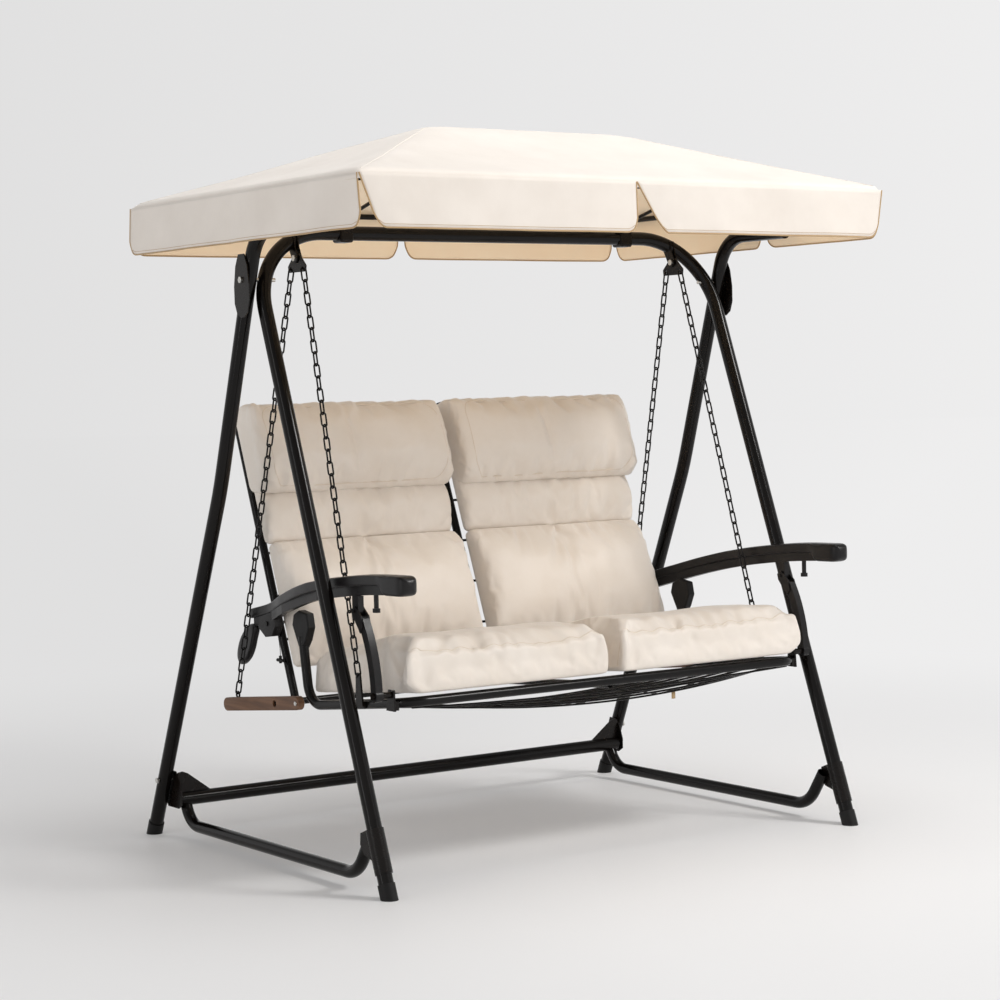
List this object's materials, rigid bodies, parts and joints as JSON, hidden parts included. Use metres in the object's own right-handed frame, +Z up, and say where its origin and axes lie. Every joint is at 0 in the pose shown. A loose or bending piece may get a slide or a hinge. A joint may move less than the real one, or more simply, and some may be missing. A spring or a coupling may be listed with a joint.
{
  "type": "canopy swing bench",
  "caption": "Freestanding garden swing bench with reclining padded backs, chain hangers, armrests and a tilting fabric canopy.",
  "frame": {"origin": "centre of the object's outline on the floor, under the seat", "axes": "+Z up, the seat faces -Y, +X is the right side seen from the front"},
  "size_m": [1.636, 1.2652, 1.886],
  "materials": {
    "stand_paint": "gloss",
    "seat_paint": "gloss",
    "chain_black": "satin",
    "bolt_zinc": "satin",
    "cap_plastic": "matte",
    "arm_plastic": "satin",
    "beam_wood": "satin",
    "cushion_cloth": "matte",
    "canopy_cloth": "matte",
    "canopy_rod_paint": "gloss",
    "cord_black": "matte"
  },
  "bodies": {
    "frame": {"front_leg_left": "stand_paint", "front_leg_right": "stand_paint", "top_bar": "stand_paint", "rear_leg_left": "stand_paint", "rear_leg_right": "stand_paint", "joint_plates": "stand_paint", "frame_bolts": "bolt_zinc", "hanger_brackets": "stand_paint", "hanger_pins": "bolt_zinc", "rear_crossbar": "stand_paint", "base_brackets": "stand_paint", "side_bar_left": "stand_paint", "side_bar_right": "stand_paint", "side_bar_clamps": "stand_paint", "foot_caps": "cap_plastic"},
    "swing": {"hanger_yokes": "chain_black", "front_chains": "chain_black", "rear_chains": "chain_black", "front_chain_lugs": "seat_paint", "rear_chain_eyes": "bolt_zinc", "wood_beam_left": "beam_wood", "wood_beam_right": "beam_wood", "seat_front_rail": "seat_paint", "seat_side_rail_left": "seat_paint", "seat_side_rail_right": "seat_paint", "seat_rear_axle": "seat_paint", "seat_centre_rail": "seat_paint", "seat_deck_wires": "seat_paint", "beam_bolts": "bolt_zinc", "recline_locks": "cap_plastic", "support_brackets": "bolt_zinc", "seat_cushion_left": "cushion_cloth", "seat_cushion_right": "cushion_cloth"},
    "canopy": {"canopy_roof": "canopy_cloth", "long_valances": "canopy_cloth", "side_valances": "canopy_cloth", "canopy_hoop": "canopy_rod_paint", "canopy_bows": "canopy_rod_paint", "ridge_tube": "canopy_rod_paint", "canopy_clamps": "cap_plastic"},
    "back_left": {"back_frame_left": "seat_paint", "back_slats_left": "seat_paint", "back_cushion_left": "cushion_cloth", "arm_pin_left": "bolt_zinc"},
    "armrest_left": {"armrest_pad_left": "arm_plastic", "armrest_rail_left": "arm_plastic", "release_cord": "cord_black", "release_toggle": "cap_plastic"},
    "arm_support_left": {"arm_support_left": "arm_plastic"},
    "lever_left": {"recline_lever_left": "cap_plastic"},
    "button_left": {"lock_button_left": "arm_plastic"},
    "back_right": {"back_frame_right": "seat_paint", "back_slats_right": "seat_paint", "back_cushion_right": "cushion_cloth", "arm_pin_right": "bolt_zinc"},
    "armrest_right": {"armrest_pad_right": "arm_plastic", "armrest_rail_right": "arm_plastic"},
    "arm_support_right": {"arm_support_right": "arm_plastic"},
    "lever_right": {"recline_lever_right": "cap_plastic"},
    "button_right": {"lock_button_right": "arm_plastic"}
  },
  "joints": [
    {"name": "seat_swing", "type": "hinge", "parent": "frame", "child": "swing", "pos_m": [0, 0.014, 1.552], "axis": [1, 0, 0], "range_deg": [-18, 18]},
    {"name": "canopy_tilt", "type": "hinge", "parent": "frame", "child": "canopy", "pos_m": [0, 0.045, 1.62], "axis": [1, 0, 0], "range_deg": [-15, 12]},
    {"name": "recline_left", "type": "hinge", "parent": "swing", "child": "back_left", "pos_m": [-0.31, 0.108, 0.398], "axis": [-1, 0, 0], "range_deg": [0, 25]},
    {"name": "armrest_link_left", "type": "hinge", "parent": "back_left", "child": "armrest_left", "pos_m": [-0.625, 0.186, 0.6], "axis": [-1, 0, 0], "range_deg": [-25, 0]},
    {"name": "support_link_left", "type": "hinge", "parent": "swing", "child": "arm_support_left", "pos_m": [-0.684, -0.438, 0.47], "axis": [-1, 0, 0], "range_deg": [0, 25]},
    {"name": "release_lever_left", "type": "hinge", "parent": "armrest_left", "child": "lever_left", "pos_m": [-0.625, 0.252, 0.599], "axis": [1, 0, 0], "range_deg": [0, 18], "stiffness_Nm_per_rad": 0.6, "springref_deg": -17.19},
    {"name": "button_push_left", "type": "slide", "parent": "armrest_left", "child": "button_left", "axis": [0, 0, 1], "range_m": [0, 0.004], "stiffness_N_per_m": 300, "springref_m": -0.006},
    {"name": "recline_right", "type": "hinge", "parent": "swing", "child": "back_right", "pos_m": [0.31, 0.108, 0.398], "axis": [-1, 0, 0], "range_deg": [0, 25]},
    {"name": "armrest_link_right", "type": "hinge", "parent": "back_right", "child": "armrest_right", "pos_m": [0.625, 0.186, 0.6], "axis": [-1, 0, 0], "range_deg": [-25, 0]},
    {"name": "support_link_right", "type": "hinge", "parent": "swing", "child": "arm_support_right", "pos_m": [0.684, -0.438, 0.47], "axis": [-1, 0, 0], "range_deg": [0, 25]},
    {"name": "release_lever_right", "type": "hinge", "parent": "armrest_right", "child": "lever_right", "pos_m": [0.625, 0.252, 0.599], "axis": [1, 0, 0], "range_deg": [0, 18], "stiffness_Nm_per_rad": 0.6, "springref_deg": -17.19},
    {"name": "button_push_right", "type": "slide", "parent": "armrest_right", "child": "button_right", "axis": [0, 0, 1], "range_m": [0, 0.004], "stiffness_N_per_m": 300, "springref_m": -0.006}
  ],
  "couplings": [
    {"joint": "armrest_link_left", "follows": "recline_left", "ratio": -1},
    {"joint": "support_link_left", "follows": "recline_left", "ratio": 1},
    {"joint": "armrest_link_right", "follows": "recline_right", "ratio": -1},
    {"joint": "support_link_right", "follows": "recline_right", "ratio": 1}
  ]
}
